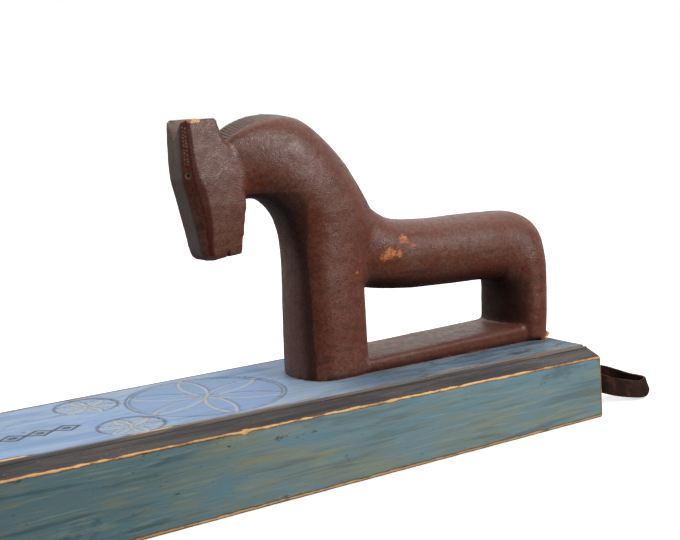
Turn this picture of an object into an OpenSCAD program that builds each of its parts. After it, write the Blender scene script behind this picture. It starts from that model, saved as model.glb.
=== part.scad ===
// Scandinavian mangle board: a painted plank with a carved horse as its handle
// and a leather hanging loop at the tail end.
// X runs along the board towards its tail, Y across it, Z up.
// The origin is on the ground, at the middle of the whole object's box.

/* [Board] */
// Length of the plank
board_len = 600; // [480:5:720]
// Width of the plank at its front end
board_w_front = 102; // [90:1:120]
// Width of the plank at its tail end, where the horse stands
board_w_tail = 130; // [122:1:150]
// Angle by which the tail end is sawn out of square
tail_skew = 2.6; // [0:0.1:3]
// Thickness of the plank at its front end
board_t_front = 52; // [44:0.5:60]
// Thickness of the plank at its tail end
board_t_tail = 40.5; // [36:0.5:44]
// Width of the planed bevel along each long top edge, seen from above
bevel_w = 14; // [8:0.5:18]
// Height that the bevel drops
bevel_drop = 5; // [3:0.5:8]

/* [Carved rosettes] */
// Radius of the large six-petal rosette
rosette_r = 42; // [30:1:45]
// Distance from the tail end to the middle of the large rosette
rosette_from_tail = 222; // [216:1:260]
// Radius of each of the two small rosettes
small_rosette_r = 16.5; // [10:0.5:18]
// Width of the carved ring lines
line_w = 0.9; // [0.6:0.1:1.5]
// Depth of the carving
carve_depth = 0.6; // [0.3:0.1:1]

/* [Horse handle] */
// Distance from the tail end to the middle of the front leg
leg_from_tail = 150; // [150:1:170]
// Thickness of the base plate at its front
plate_t_front = 7; // [5:0.5:9]
// Thickness of the base plate at its tail
plate_t_tail = 10; // [8:0.5:12]
// Width of the base plate
plate_w = 41; // [36:1:46]
// Depth of the V-shaped cut between the ears
ear_notch = 9; // [4:1:14]

/* [Dowels] */
// Diameter of the two hidden dowels
dowel_d = 12; // [8:1:14]
// Length of a dowel
dowel_len = 52; // [40:1:56]
// Depth of the part of a dowel that is inside the board
dowel_in_board = 24; // [16:1:30]
// Clearance of a dowel in its hole, on the diameter
dowel_fit = 0.1; // [0.04:0.02:0.2]

/* [Leather loop] */
// Width of the leather strap
strap_w = 10.6; // [9:0.2:11]
// Thickness of the leather strap
strap_t = 2.2; // [1.8:0.2:2.6]
// Height of the loop's root above the ground
root_z = 17.8; // [17.8:0.2:22]
// Distance from the board's middle line to the loop's root, towards the near side
root_side = 39; // [30:1:42]
// Depth of the slot in the tail end that holds the two strap ends
slot_depth = 24; // [16:1:30]
// Thickness of the wooden wedge between the two strap ends
wedge_t = 4; // [3:0.5:5]
// Gap between the tail end and the line about which the loop bends
hinge_gap = 6; // [5.8:0.1:7]

/* [Hidden] */

// How far the loop reaches past the line about which it bends
loop_reach = 47.4;
front_x = -(board_len + hinge_gap + loop_reach) / 2;
tail_x = front_x + board_len;
slope = atan((board_t_front - board_t_tail) / board_len);
rosette_x = tail_x - rosette_from_tail;
rosette_turn = -36;
// Places of the small rosettes, along and across from the large one, and their turn
small_at = [[-56.4, 25.3], [-54.1, -27.5]];
small_turn = -23;
// As shares of a rosette's radius: its inner ring, and the shape of a petal
inner_ring = 0.95;
petal_offset = 0.62;
petal_half = 0.13;
leg_x = tail_x - leg_from_tail;
// Places of the two dowels, measured along the plate from the middle of the front leg
dowel_at = [2.5, 139.5];
ring_fn = 72;
// Sides of a carved cross-section, and steps between two of its stations
sides = 28;
steps = 3;
hinge_x = tail_x + hinge_gap;
slot_w = 2 * strap_t + wedge_t;

function board_t(x) = board_t_front + (board_t_tail - board_t_front) * (x - front_x) / board_len;
function board_half(x) =
    (board_w_front + (board_w_tail - board_w_front) * (x - front_x) / board_len) / 2;

// Moves its children onto the sloping top of the board, at the distance x along it
module on_top(x) {
    translate([x, 0, board_t(x)])
        rotate([0, slope, 0])
            children();
}

// ---- Smooth solids through a row of cross-sections ----

function catmull(p, i, t) =
    let (a = p[max(i - 1, 0)], b = p[i], c = p[i + 1], d = p[min(i + 2, len(p) - 1)])
    0.5 * (2 * b + (c - a) * t + (2 * a - 5 * b + 4 * c - d) * t * t
           + (3 * b - a - 3 * c + d) * t * t * t);

function smooth_row(p, n) =
    [for (i = [0 : len(p) - 2]) for (k = [0 : n - 1]) catmull(p, i, k / n), p[len(p) - 1]];

function signed_pow(v, e) = sign(v) * pow(abs(v), e);

// A rounded section in the plane through two points of the X-Z plane.
// s is [x, z of one edge, x, z of the other edge, half width, squareness].
function carved_ring(s) =
    [for (k = [0 : sides - 1])
        let (a = 360 * k / sides,
             u = signed_pow(cos(a), 2 / s[5]),
             v = signed_pow(sin(a), 2 / s[5]))
        [(s[0] + s[2]) / 2 + u * (s[2] - s[0]) / 2,
         v * s[4],
         (s[1] + s[3]) / 2 + u * (s[3] - s[1]) / 2]];

// Joins rings of m points each into one closed solid
module skin(rings) {
    m = len(rings[0]);
    n = len(rings);
    polyhedron(
        points = [for (r = rings) for (p = r) p],
        faces = concat(
            [[for (k = [0 : m - 1]) k]],
            [[for (k = [m - 1 : -1 : 0]) (n - 1) * m + k]],
            [for (i = [0 : n - 2]) for (k = [0 : m - 1])
                let (a = i * m + k, b = i * m + (k + 1) % m)
                each [[a, a + m, b + m], [a, b + m, b]]]));
}

// ---- Board ----

// A corner of the plank near the distance x along it: side is -1 or 1, inset is how far
// it lies in from the side, and skew is the angle at which the end is sawn
function corner(x, side, inset, skew) =
    let (ex = x + side * (board_half(x) - inset) * tan(skew))
    [ex, side * (board_half(ex) - inset), board_t(ex)];

module board_blank() {
    skin([for (e = [[front_x, 0], [tail_x, tail_skew]])
        let (near = corner(e[0], -1, 0, e[1]), far = corner(e[0], 1, 0, e[1]))
        [[near[0], near[1], 0], [far[0], far[1], 0],
         far - [0, 0, bevel_drop], corner(e[0], 1, bevel_w, e[1]),
         corner(e[0], -1, bevel_w, e[1]), near - [0, 0, bevel_drop]]]);
}

module ring_line(r) {
    rotate_extrude($fn = ring_fn)
        translate([r - line_w / 2, 0])
            square([line_w, carve_depth + 1]);
}

// Six lens-shaped petals inside a double ring, as compasses draw them
module rosette(r) {
    ring_line(r);
    ring_line(r * inner_ring);
    for (k = [0 : 5])
        rotate([0, 0, 60 * k])
            translate([r / 2, 0, 0])
                linear_extrude(height = carve_depth + 1)
                    intersection_for(side = [-1, 1])
                        translate([0, side * r * petal_offset, 0])
                            circle(r = r * (petal_offset + petal_half), $fn = ring_fn);
}

module board() {
    color("steelblue")
        difference() {
            board_blank();
            on_top(rosette_x)
                translate([0, 0, -carve_depth]) {
                    rotate([0, 0, rosette_turn])
                        rosette(rosette_r);
                    for (place = small_at)
                        translate([place[0], place[1], 0])
                            rotate([0, 0, small_turn])
                                rosette(small_rosette_r);
                }
            on_top(leg_x)
                for (x = dowel_at)
                    translate([x, 0, -dowel_in_board - 1])
                        cylinder(d = dowel_d + dowel_fit, h = dowel_in_board + 10, $fn = 48);
            translate([tail_x - slot_depth, -root_side - slot_w / 2, root_z - strap_w / 2])
                cube([slot_depth + 1, slot_w, strap_w]);
        }
}

// ---- Horse handle ----

// Front leg, chest and neck: throat edge, crest edge, half width, squareness
neck_rows = [
    [-18.2, 0, 23.6, 0, 22.4, 2.7],
    [-18, 24, 23.8, 24, 21.6, 2.7],
    [-17.7, 48, 24.5, 48, 20.9, 2.7],
    [-17.6, 63, 27.3, 66, 20.2, 2.7],
    [-19.3, 75.5, 33.3, 83.2, 19.9, 2.5],
    [-21.8, 84.2, 29, 96.2, 19.6, 2.4],
    [-25.2, 90, 17.6, 113.8, 19.2, 2.3],
    [-29.5, 94.6, 5.6, 126.8, 18.4, 2.3],
    [-34, 97.8, -8, 137.6, 17, 2.3],
    [-39, 99.2, -24, 141.6, 15, 2.4],
    [-44, 99, -40, 140.8, 12.6, 2.6],
    [-50, 97.4, -54, 135.4, 10.4, 3],
    [-56, 95, -64, 127, 9.4, 3]];

// Barrel and hind leg: upper or outer edge, lower or inner edge, half width, squareness
barrel_rows = [
    [20, 95, 14, 47, 16, 2.3],
    [33, 88.5, 27, 44, 18, 2.3],
    [42.5, 82.6, 40, 41.6, 18.8, 2.3],
    [55, 79.4, 54, 40, 19, 2.3],
    [74, 78, 74, 39, 19, 2.3],
    [95, 77.8, 94, 38.4, 19.2, 2.3],
    [120, 77.6, 110, 38, 19.8, 2.4],
    [138, 76, 120, 36.6, 20.9, 2.4],
    [150.8, 68, 124.2, 32.5, 22.6, 2.2],
    [155.2, 52, 125.3, 26, 23.6, 2.15],
    [155.4, 32, 125.1, 18, 24, 2.1],
    [154.4, 13, 125.1, 9, 24.1, 2.1],
    [152.9, 1, 125.1, 1, 24.2, 2.1]];

// Head, from the muzzle up to the ears: height of the front edge, front, width of the
// corner bevel, back, half width of the front face, half width of the head, and how
// much higher the back edge is
head_rows = [
    [71.3, -69.8, 2.8, -50.6, 5.4, 8.6, 2],
    [76, -72.1, 3.4, -50.6, 6.2, 9.5, 1],
    [86, -74.4, 4.1, -49.2, 6.6, 10.5, 0],
    [98, -77, 4.7, -47.6, 6.7, 11.2, 0],
    [112, -80.2, 4.2, -49.3, 6.7, 10.9, 0],
    [120, -80.6, 3.8, -52, 6.7, 10.5, 0],
    [133, -80.3, 3.1, -59, 6.6, 9.5, 0.5],
    [140.9, -79.9, 2.5, -62, 6.5, 8.9, 1]];

function head_ring(r) =
    [[r[1], -r[4], r[0]], [r[1] + r[2], -r[5], r[0]], [r[3], -r[5], r[0] + r[6]],
     [r[3], r[5], r[0] + r[6]], [r[1] + r[2], r[5], r[0]], [r[1], r[4], r[0]]];

module ear_cut() {
    translate([-84, 0, 142])
        rotate([90, 0, 90])
            linear_extrude(height = 26)
                polygon([[-9.3, 1], [9.3, 1], [0, -ear_notch - 1]]);
}

module head() {
    difference() {
        skin([for (r = head_rows) head_ring(r)]);
        ear_cut();
    }
}

module base_plate() {
    rear = leg_from_tail + 0.5;
    rotate([90, 0, 0])
        linear_extrude(height = plate_w, center = true)
            polygon([[0, 0], [rear - 12, 0], [rear - 12, plate_t_tail], [0, plate_t_front]]);
}

module horse_handle() {
    color("saddlebrown")
        on_top(leg_x)
            difference() {
                union() {
                    base_plate();
                    skin([for (s = smooth_row(neck_rows, steps)) carved_ring(s)]);
                    skin([for (s = smooth_row(barrel_rows, steps)) carved_ring(s)]);
                    head();
                }
                for (x = dowel_at)
                    translate([x, 0, -1])
                        cylinder(d = dowel_d + dowel_fit, h = dowel_len - dowel_in_board + 2, $fn = 48);
            }
}

module dowel(x) {
    on_top(leg_x)
        translate([x, 0, -dowel_in_board])
            cylinder(d = dowel_d, h = dowel_len, $fn = 48);
}

module front_dowel() {
    color("burlywood")
        dowel(dowel_at[0]);
}

module rear_dowel() {
    color("burlywood")
        dowel(dowel_at[1]);
}

// ---- Leather loop ----

module strap_ends() {
    color("saddlebrown")
        for (side = [-1, 1])
            translate([tail_x - slot_depth, -root_side + side * (wedge_t + strap_t) / 2, root_z])
                translate([0, -strap_t / 2, -strap_w / 2])
                    cube([slot_depth + 0.3, strap_t, strap_w]);
}

module strap_wedge() {
    color("burlywood")
        translate([tail_x - slot_depth, -root_side - wedge_t / 2, root_z - strap_w / 2 + 0.5])
            cube([slot_depth - 0.5, wedge_t, strap_w - 1]);
}

// Middle line of the loop from its near end round to its far end, measured from the
// point where it bends: along, across, up, then how far the strap's width leans
// along and across for each unit of height
loop_rows = [
    [0, -3.1, 0, 0, 0],
    [5, -7.6, -2.6, 0.1, 0],
    [10, -10.8, -5.2, 0.2, 0.1],
    [16, -12, -7.4, 0.2, 0.2],
    [23, -12.8, -9.4, 0.2, 0.3],
    [30, -13.4, -11.1, 0.2, 0.5],
    [36, -13.6, -12.1, 0.1, 0.6],
    [41, -12.8, -12.4, 0, 0.6],
    [44.4, -10.4, -12.2, -0.1, 0.4],
    [45.2, -7, -12, -0.2, 0.1],
    [43.2, -3, -11.3, -0.1, -0.2],
    [39, 1.4, -9.8, 0, -0.4],
    [33, 5.4, -7.2, 0.1, -0.3],
    [26, 8.2, -4.4, 0.1, -0.2],
    [17, 8.6, -2, 0.1, 0],
    [8, 6.2, -0.4, 0, 0],
    [0, 3.1, 0, 0, 0]];

function unit(v) = v / norm(v);

function strap_ring(rows, i) =
    let (a = rows[max(i - 1, 0)], b = rows[min(i + 1, len(rows) - 1)], c = rows[i],
         along = unit([b[0] - a[0], b[1] - a[1], b[2] - a[2]]),
         side = unit(cross(along, [c[3], c[4], 1])),
         up = cross(side, along))
    [for (q = [[-1, -1], [-1, 1], [1, 1], [1, -1]])
        [c[0], c[1], c[2]] + side * q[0] * strap_t / 2 + up * q[1] * strap_w / 2];

module hanging_loop() {
    rows = smooth_row(loop_rows, 3);
    color("saddlebrown")
        translate([hinge_x, -root_side, root_z]) {
            skin([for (i = [0 : len(rows) - 1]) strap_ring(rows, i)]);
            for (side = [-1, 1])
                translate([0, side * (wedge_t + strap_t) / 2, 0])
                    rotate([90, 0, 0])
                        cylinder(d = strap_w, h = strap_t, center = true, $fn = 40);
        }
}

board();
horse_handle();
front_dowel();
rear_dowel();
strap_ends();
strap_wedge();
hanging_loop();
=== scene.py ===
import itertools
import math

import bmesh
import bpy
import numpy as np
from mathutils import Matrix, Vector


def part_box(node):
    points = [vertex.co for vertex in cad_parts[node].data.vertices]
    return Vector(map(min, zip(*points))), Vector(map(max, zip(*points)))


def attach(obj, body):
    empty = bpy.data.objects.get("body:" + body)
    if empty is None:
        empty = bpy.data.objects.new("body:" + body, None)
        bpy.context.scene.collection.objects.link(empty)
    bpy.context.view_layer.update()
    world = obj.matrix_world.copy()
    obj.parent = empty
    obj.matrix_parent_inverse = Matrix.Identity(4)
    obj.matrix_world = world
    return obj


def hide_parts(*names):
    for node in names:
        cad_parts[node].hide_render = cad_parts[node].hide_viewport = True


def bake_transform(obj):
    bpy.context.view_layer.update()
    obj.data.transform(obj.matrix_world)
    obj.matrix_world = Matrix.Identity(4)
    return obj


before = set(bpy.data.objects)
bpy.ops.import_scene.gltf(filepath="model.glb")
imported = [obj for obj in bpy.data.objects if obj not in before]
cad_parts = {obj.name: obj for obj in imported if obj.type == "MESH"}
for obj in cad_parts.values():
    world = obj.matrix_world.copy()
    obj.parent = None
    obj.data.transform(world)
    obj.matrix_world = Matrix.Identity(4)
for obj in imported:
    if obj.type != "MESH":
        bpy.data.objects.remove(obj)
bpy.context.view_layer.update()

# Lengths below are in millimetres and are turned into metres when a mesh is made.
MM = 0.001


def mm(vector):
    return np.array(vector) / MM


# ---------------------------------------------------------------- driving sizes

board_lo, board_hi = (mm(v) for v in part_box("board"))
wedge_lo, wedge_hi = (mm(v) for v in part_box("strap_wedge"))
ends_lo, ends_hi = (mm(v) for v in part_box("strap_ends"))

TAIL_SKEW = math.tan(math.radians(2.6))
FRONT_WIDTH = 102.0
TAIL_WIDTH = 130.0
TAIL_THICKNESS = 40.5
BEVEL_DROP = 5.0
front_x = board_lo[0]
tail_half = board_hi[1]
tail_x = board_hi[0] - tail_half * TAIL_SKEW
board_len = tail_x - front_x
front_thickness = board_hi[2]
slope = math.atan((front_thickness - TAIL_THICKNESS) / board_len)

ROSETTE_X = tail_x - 222.0
ROSETTE_R = 42.0
ROSETTE_TURN = -36.0
INNER_RING = 0.95
SMALL_R = 16.5
# Places of the small rosettes, along and across from the large one
SMALL_AT = ((-56.4, 25.3), (-54.1, -27.5))
SMALL_TURN = -23.0

LOZENGES = 7
LOZENGE_AT = (-80.0, -9.5)
LOZENGE_HALF = (6.6, 5.6)
LOZENGE_LINE = 1.3

LEG_X = tail_x - 150.0
PLATE_LEN = 138.5
PLATE_W = 41.0
PLATE_T_FRONT = 7.0
PLATE_T_TAIL = 10.0
PLATE_ROUND = 2.6

STRAP_W = 10.6
STRAP_T = 2.2
HINGE_GAP = 6.0
hinge_x = tail_x + HINGE_GAP
root_y = (wedge_lo[1] + wedge_hi[1]) / 2
root_z = (ends_lo[2] + ends_hi[2]) / 2
slot_x = ends_lo[0]


def board_t(x):
    return front_thickness + (TAIL_THICKNESS - front_thickness) * (x - front_x) / board_len


def board_half(x):
    return (FRONT_WIDTH + (TAIL_WIDTH - FRONT_WIDTH) * (x - front_x) / board_len) / 2


# ---------------------------------------------------------------- shape helpers

def smoothstep(low, high, value):
    t = np.clip((value - low) / (high - low), 0, 1)
    return t * t * (3 - 2 * t)


def within(value, low, high):
    return (value > low) & (value < high)


def bump(distance, width):
    """1 where the distance is 0, falling away smoothly over about the width."""
    return np.exp(-(distance / width) ** 2)


def along_line(value, line):
    """Height at the value on a line given as (place, height) pairs."""
    return np.interp(value, *zip(*line))


def value_noise(points, size, seed):
    """Smooth noise from -1 to 1 at each point, in patches of the given size."""
    p = points / np.array(size)
    base = np.floor(p).astype(np.int64)
    f = p - base
    f = f * f * (3 - 2 * f)
    total = np.zeros(len(p))
    for corner in itertools.product((0, 1), repeat=3):
        cell = base + corner
        key = cell[:, 0] * 73856093 ^ cell[:, 1] * 19349663 ^ cell[:, 2] * 83492791 ^ seed * 6542989
        key = (key ^ (key >> 13)) * 1274126177 & 0xFFFFFFFF
        value = ((key ^ (key >> 15)) & 0xFFFF) / 32767.5 - 1
        total += np.prod(np.where(corner, f, 1 - f), axis=1) * value
    return total


def smooth_rows(rows, steps):
    """More rows, on Catmull-Rom curves through the given ones."""
    rows = np.array(rows, float)
    out = []
    for i in range(len(rows) - 1):
        a, b, c = rows[max(i - 1, 0)], rows[i], rows[i + 1]
        d = rows[min(i + 2, len(rows) - 1)]
        for t in np.arange(steps) / steps:
            out.append(0.5 * (2 * b + (c - a) * t + (2 * a - 5 * b + 4 * c - d) * t ** 2
                              + (3 * b - a - 3 * c + d) * t ** 3))
    out.append(rows[-1])
    return np.array(out)


def skin(rings):
    """Points and faces of a closed solid through rings of equal length."""
    rings = np.asarray(rings, float)
    n, m = rings.shape[:2]
    i, k = np.meshgrid(np.arange(n - 1), np.arange(m), indexing="ij")
    a, b = i * m + k, i * m + (k + 1) % m
    quads = np.stack([a, b, b + m, a + m], axis=-1).reshape(-1, 4).tolist()
    caps = [list(range(m))[::-1], list(range((n - 1) * m, n * m))]
    return rings.reshape(-1, 3), quads + caps


def mesh_object(name, points, faces, smooth=True):
    mesh = bpy.data.meshes.new(name)
    mesh.from_pydata((np.asarray(points) * MM).tolist(), [], faces)
    mesh.validate()
    mesh.update()
    shade = np.array([smooth and len(p.vertices) < 5 for p in mesh.polygons])
    mesh.polygons.foreach_set("use_smooth", shade)
    obj = bpy.data.objects.new(name, mesh)
    bpy.context.scene.collection.objects.link(obj)
    return obj


def outward(obj):
    """Makes every face of a closed mesh point outwards."""
    bm = bmesh.new()
    bm.from_mesh(obj.data)
    bmesh.ops.recalc_face_normals(bm, faces=bm.faces)
    bm.to_mesh(obj.data)
    bm.free()


def points_of(obj):
    co = np.zeros(len(obj.data.vertices) * 3)
    obj.data.vertices.foreach_get("co", co)
    return co.reshape(-1, 3) / MM


def set_points(obj, points):
    obj.data.vertices.foreach_set("co", (np.asarray(points) * MM).ravel())
    obj.data.update()


def normals_of(obj):
    no = np.zeros(len(obj.data.vertices) * 3)
    obj.data.vertex_normals.foreach_get("vector", no)
    return no.reshape(-1, 3)


def mark(obj, **values):
    """Stores one number per point for the material to read."""
    for name, value in values.items():
        attribute = obj.data.attributes.new(name, "FLOAT", "POINT")
        attribute.data.foreach_set("value", np.asarray(value, np.float32))


# ---------------------------------------------------------------- materials

def map_range(tree, value, *limits):
    """A node that turns one range of a value smoothly into another."""
    node = tree.nodes.new("ShaderNodeMapRange")
    node.interpolation_type = "SMOOTHSTEP"
    tree.links.new(value, node.inputs["Value"])
    for key, number in zip(("From Min", "From Max", "To Min", "To Max"), limits):
        node.inputs[key].default_value = number
    return node.outputs[0]


class Paint:
    """A material built from short calls, around one Principled shader."""

    def __init__(self, name, **settings):
        self.material = bpy.data.materials.new(name)
        self.material.use_nodes = True
        self.tree = self.material.node_tree
        self.shader = self.tree.nodes["Principled BSDF"]
        for key, value in settings.items():
            self.shader.inputs[key.replace("_", " ")].default_value = value
        self.place = self.node("ShaderNodeTexCoord").outputs["Object"]

    def node(self, kind, **inputs):
        node = self.tree.nodes.new(kind)
        for key, value in inputs.items():
            self.put(node.inputs[key], value)
        return node

    def put(self, socket, value):
        if isinstance(value, bpy.types.NodeSocket):
            self.tree.links.new(value, socket)
        elif isinstance(value, tuple) and len(value) == 3 and socket.type == "RGBA":
            socket.default_value = value + (1.0,)
        else:
            socket.default_value = value

    def stored(self, name):
        node = self.node("ShaderNodeAttribute")
        node.attribute_name = name
        return node.outputs["Fac"]

    def stretched(self, x, y, z):
        node = self.node("ShaderNodeMapping", Vector=self.place)
        node.inputs["Scale"].default_value = (x, y, z)
        return node.outputs["Vector"]

    def noise(self, scale, detail=4.0, rough=0.55, stretch=(1, 1, 1), warp=0.0):
        """Noise whose patches are about 1 / scale metres across."""
        node = self.node("ShaderNodeTexNoise", Vector=self.stretched(*stretch), Scale=scale,
                         Detail=detail, Roughness=rough, Distortion=warp)
        return node.outputs["Fac"]

    def cells(self, scale, stretch=(1, 1, 1)):
        node = self.node("ShaderNodeTexVoronoi", Vector=self.stretched(*stretch), Scale=scale)
        return node.outputs["Distance"]

    def math(self, operation, a, b, clamp=False):
        node = self.tree.nodes.new("ShaderNodeMath")
        node.operation = operation
        node.use_clamp = clamp
        self.put(node.inputs[0], a)
        self.put(node.inputs[1], b)
        return node.outputs[0]

    def between(self, value, low, high, first=0.0, last=1.0):
        return map_range(self.tree, value, low, high, first, last)

    def times(self, a, b):
        return self.math("MULTIPLY", a, b)

    def plus(self, a, b):
        return self.math("ADD", a, b)

    def mix(self, share, a, b):
        node = self.tree.nodes.new("ShaderNodeMix")
        node.data_type = "RGBA"
        self.put(node.inputs[0], share)
        self.put(node.inputs[6], a)
        self.put(node.inputs[7], b)
        return node.outputs[2]

    def layered(self, colour, *layers):
        """A colour with others laid over it in turn, each as (share, colour)."""
        for share, over in layers:
            colour = self.mix(share, colour, over)
        return colour

    def finish(self, colour, rough, height=None, depth=0.0004, strength=0.6, shine=0.5, matt=None):
        """Links the shader. Where matt is 1, the shine is a third of its usual strength."""
        self.put(self.shader.inputs["Base Color"], colour)
        self.put(self.shader.inputs["Roughness"], rough)
        gloss = self.shader.inputs["Specular IOR Level"]
        gloss.default_value = shine
        if matt is not None:
            self.put(gloss, self.between(matt, 0, 1, shine, shine / 3))
        if height is not None:
            bump = self.node("ShaderNodeBump", Height=height, Strength=strength, Distance=depth)
            self.put(self.shader.inputs["Normal"], bump.outputs[0])
        return self.material


def raw_wood(p):
    """Colour of bare, yellowed softwood with fine grain along X."""
    grain = p.noise(90, 6, 0.6, (0.08, 1, 1), 0.6)
    pores = p.noise(700, 3, 0.6, (0.04, 1, 1))
    light = p.mix(p.between(grain, 0.35, 0.7), (0.66, 0.42, 0.19), (0.44, 0.21, 0.07))
    return p.mix(p.between(pores, 0.6, 0.8, 0, 0.5), light, (0.25, 0.10, 0.03))


def board_material():
    p = Paint("worn_board_paint", IOR=1.45)
    fine = p.noise(620, 5, 0.62, (0.055, 1, 1), 0.3)
    grain = p.noise(240, 5, 0.6, (0.06, 1, 1), 0.4)
    streaks = p.noise(190, 6, 0.72, (0.075, 1, 1), 0.5)
    clouds = p.noise(15, 5, 0.62, (0.55, 1, 1))
    patches = p.noise(40, 6, 0.68, (0.32, 1, 1), 0.3)
    smudge = p.noise(75, 6, 0.72, (0.6, 1, 1), 0.3)
    specks = p.noise(800, 3, 0.55, (0.6, 1, 1))
    flecks = p.noise(105, 4, 0.7, (0.45, 1, 1), 0.4)
    daubs = p.noise(160, 5, 0.7, (0.4, 1, 1))
    grimy, handled = p.stored("grimy"), p.stored("handled")

    # Painted shade: the side's paint darkens towards the front end
    blue = p.times(p.between(grimy, 0, 0.5, 0.9, 0.2), p.between(patches, 0.40, 0.60, 1, 0))
    ochre = p.times(p.between(streaks, 0.46, 0.68), p.between(patches, 0.38, 0.62, 0.35, 0.85))
    side = p.layered(
        p.mix(p.between(clouds, 0.38, 0.62), (0.115, 0.180, 0.180), (0.120, 0.215, 0.250)),
        (blue, (0.098, 0.225, 0.300)),
        (p.between(patches, 0.46, 0.68, 0, 0.6), (0.165, 0.205, 0.165)),
        (ochre, (0.245, 0.235, 0.140)),
        (p.between(fine, 0.50, 0.68, 0, 0.6), (0.265, 0.290, 0.215)),
        (p.between(grain, 0.50, 0.66, 0, 0.7), (0.055, 0.100, 0.115)),
        (p.between(patches, 0.30, 0.40, 0.75, 0), (0.035, 0.085, 0.130)),
        (p.between(smudge, 0.655, 0.70, 0, 0.6), (0.050, 0.060, 0.060)),
        (p.between(flecks, 0.65, 0.70, 0, 0.85), (0.028, 0.036, 0.036)),
        (p.between(specks, 0.66, 0.72, 0, 0.5), (0.030, 0.040, 0.040)),
        # Painted shade towards the front end, and painted light near the handle
        (p.times(grimy, p.between(clouds, 0.3, 0.6, 0.25, 0.6)), (0.045, 0.075, 0.080)),
        (p.between(grimy, 0, 0.35, 0.24, 0), (0.300, 0.330, 0.290)))

    worn_tail = p.mix(p.between(streaks, 0.4, 0.6), (0.045, 0.080, 0.105), (0.110, 0.145, 0.165))
    field = p.layered(
        p.mix(p.between(patches, 0.4, 0.62), (0.030, 0.175, 0.500), (0.055, 0.205, 0.420)),
        (p.between(streaks, 0.45, 0.70, 0, 0.4), (0.150, 0.250, 0.430)),
        (p.between(smudge, 0.58, 0.68, 0, 0.5), (0.060, 0.090, 0.150)))
    top = p.layered(
        p.mix(p.between(clouds, 0.35, 0.65), (0.205, 0.300, 0.460), (0.270, 0.350, 0.450)),
        (p.between(streaks, 0.46, 0.68, 0, 0.7), (0.330, 0.365, 0.385)),
        (p.between(fine, 0.54, 0.72, 0, 0.6), (0.130, 0.190, 0.320)),
        (p.between(patches, 0.46, 0.64, 0, 0.5), (0.120, 0.195, 0.330)),
        (p.between(grain, 0.56, 0.70, 0, 0.5), (0.110, 0.150, 0.240)),
        (p.between(flecks, 0.64, 0.69, 0, 0.8), (0.080, 0.080, 0.085)),
        (p.times(handled, p.between(patches, 0.36, 0.60, 0.5, 0.95)), worn_tail),
        (p.times(handled, p.between(daubs, 0.57, 0.64, 0, 0.8)), (0.055, 0.050, 0.052)),
        (p.times(p.stored("rim"), p.between(streaks, 0.40, 0.58, 0.1, 0.8)), (0.210, 0.120, 0.065)),
        (p.stored("petal"), field),
        (p.times(p.stored("pale_line"), 0.9), (0.400, 0.390, 0.350)),
        (p.stored("dark_line"), (0.050, 0.042, 0.038)),
        (p.times(p.stored("filler"), 0.6), (0.240, 0.150, 0.095)))

    bead = p.mix(p.between(grain, 0.42, 0.62), (0.055, 0.049, 0.049), (0.200, 0.140, 0.100))
    bevel = p.layered(
        p.mix(p.between(streaks, 0.4, 0.7), (0.044, 0.040, 0.041), (0.094, 0.084, 0.078)),
        # Painted shade on the bevel towards the front end
        (p.times(grimy, 0.6), (0.016, 0.015, 0.017)),
        (p.between(specks, 0.66, 0.72, 0, 0.4), (0.260, 0.230, 0.200)),
        (p.times(p.stored("bead"), 0.8), bead),
        # The grooves are darker than the black paint: painted shade
        (p.stored("quirk"), (0.016, 0.012, 0.011)))

    # Paint is lost along the edges, with a dark line of old varnish round each bare patch
    ragged = p.between(p.noise(420, 5, 0.68, (0.3, 1, 1)), 0.25, 0.75, 0.15, 0.95)
    lost = p.math("SUBTRACT", p.plus(ragged, p.stored("worn")), p.stored("edge"))
    bare = p.between(lost, -0.10, 0.40)
    wood = raw_wood(p)
    colour = p.layered(
        p.mix(p.stored("is_top"), side, top),
        (p.stored("is_bevel"), bevel),
        (p.between(lost, -0.8, -0.1, 0, 0.75), (0.120, 0.055, 0.022)),
        (bare, wood),
        (p.stored("is_base"), p.mix(0.55, wood, (0.10, 0.040, 0.018))))

    rough = p.between(patches, 0.3, 0.7, 0.40, 0.58)
    relief = p.plus(p.times(grain, 0.6), p.times(fine, 0.5))
    relief = p.plus(relief, p.times(bare, -0.5))
    relief = p.math("SUBTRACT", relief, p.between(flecks, 0.66, 0.72, 0, 0.5))
    return p.finish(colour, rough, relief, 0.0005, 0.5, 0.08)


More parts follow.
